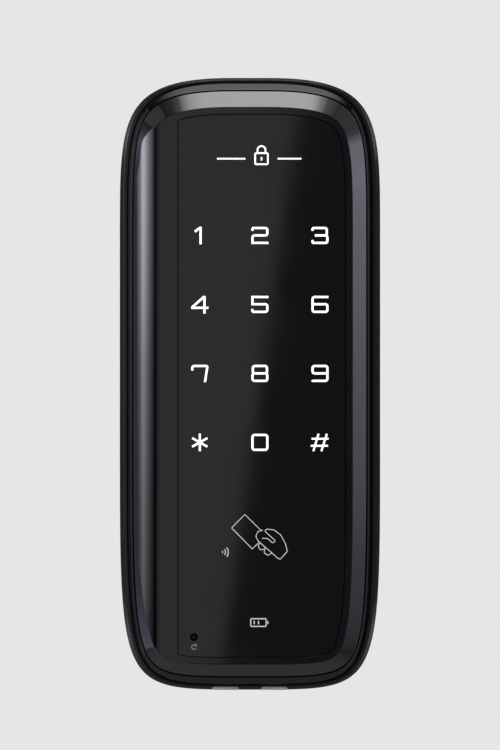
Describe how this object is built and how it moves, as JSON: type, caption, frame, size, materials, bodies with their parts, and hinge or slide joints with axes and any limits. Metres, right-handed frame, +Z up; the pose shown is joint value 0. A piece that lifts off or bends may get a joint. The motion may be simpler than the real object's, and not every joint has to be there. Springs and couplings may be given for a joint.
{
  "type": "keypad smart lock",
  "caption": "Outdoor keypad unit of a smart door lock: tall rounded case, touch window with lit keys, posts for through bolts at the back and battery touch contacts below.",
  "frame": {"origin": "centre of the door gasket's back face, which rests on the door, half way up the case", "axes": "+Z up the door; +Y from the unit into the door, so the keypad faces -Y; +X to the right for a person facing the keypad"},
  "size_m": [0.068, 0.036, 0.16],
  "materials": {
    "front_shell": "black, high gloss",
    "rear_shell": "black, semi-gloss",
    "window": "black, back-printed, mirror gloss",
    "rubber": "matt",
    "tape": "double-sided foam tape",
    "film": "diffusing film",
    "white_plastic": "moulded",
    "circuit_board": "solder mask",
    "chip": "moulded",
    "led": "white package",
    "nickel": "nickel plate",
    "copper": "bare copper",
    "ferrite": "sintered sheet",
    "foam": "open-cell foam",
    "lead_black": "PVC insulation",
    "lead_red": "PVC insulation",
    "zinc_steel": "zinc plated",
    "label": "blank polyester label"
  },
  "bodies": {
    "lock_body": {"rear_case": "rear_shell", "front_case": "front_shell", "case_seal": "rubber", "touch_window": "window", "window_adhesive": "tape", "diffuser_film": "film", "light_guide": "white_plastic", "main_board": "circuit_board", "mcu_chip": "chip", "touch_chip": "chip", "card_reader_chip": "chip", "capacitor": "nickel", "buzzer": "chip", "harness_socket": "white_plastic", "card_antenna_coil": "copper", "ferrite_sheet": "ferrite", "antenna_foam": "foam", "reset_switch": "chip", "tamper_switch": "chip", "tamper_spring": "nickel", "contact_block": "chip", "emergency_contact_left": "nickel", "emergency_contact_right": "nickel", "contact_lead_left": "lead_black", "contact_lead_right": "lead_red", "door_gasket": "rubber", "mount_plate": "zinc_steel", "mount_post_upper": "zinc_steel", "mount_post_lower": "zinc_steel", "cable_grommet": "rubber", "rating_label": "label", "key_led_1": "led", "key_led_2": "led", "key_led_3": "led", "key_led_4": "led", "key_led_5": "led", "key_led_6": "led", "key_led_7": "led", "key_led_8": "led", "key_led_9": "led", "key_led_star": "led", "key_led_0": "led", "key_led_hash": "led", "case_screw_1": "zinc_steel", "board_screw_1": "zinc_steel", "plate_screw_1": "zinc_steel", "case_screw_2": "zinc_steel", "board_screw_2": "zinc_steel", "plate_screw_2": "zinc_steel", "case_screw_3": "zinc_steel", "board_screw_3": "zinc_steel", "plate_screw_3": "zinc_steel", "case_screw_4": "zinc_steel", "board_screw_4": "zinc_steel", "plate_screw_4": "zinc_steel"},
    "reset_key": {"reset_button": "white_plastic"},
    "tamper_pin": {"tamper_plunger": "white_plastic"}
  },
  "joints": [
    {"name": "reset_press", "type": "slide", "parent": "lock_body", "child": "reset_key", "axis": [0, 1, 0], "range_m": [0, 0.0003], "stiffness_N_per_m": 600},
    {"name": "tamper_press", "type": "slide", "parent": "lock_body", "child": "tamper_pin", "axis": [0, -1, 0], "range_m": [0, 0.002], "stiffness_N_per_m": 250, "deforming": ["tamper_spring"]}
  ]
}
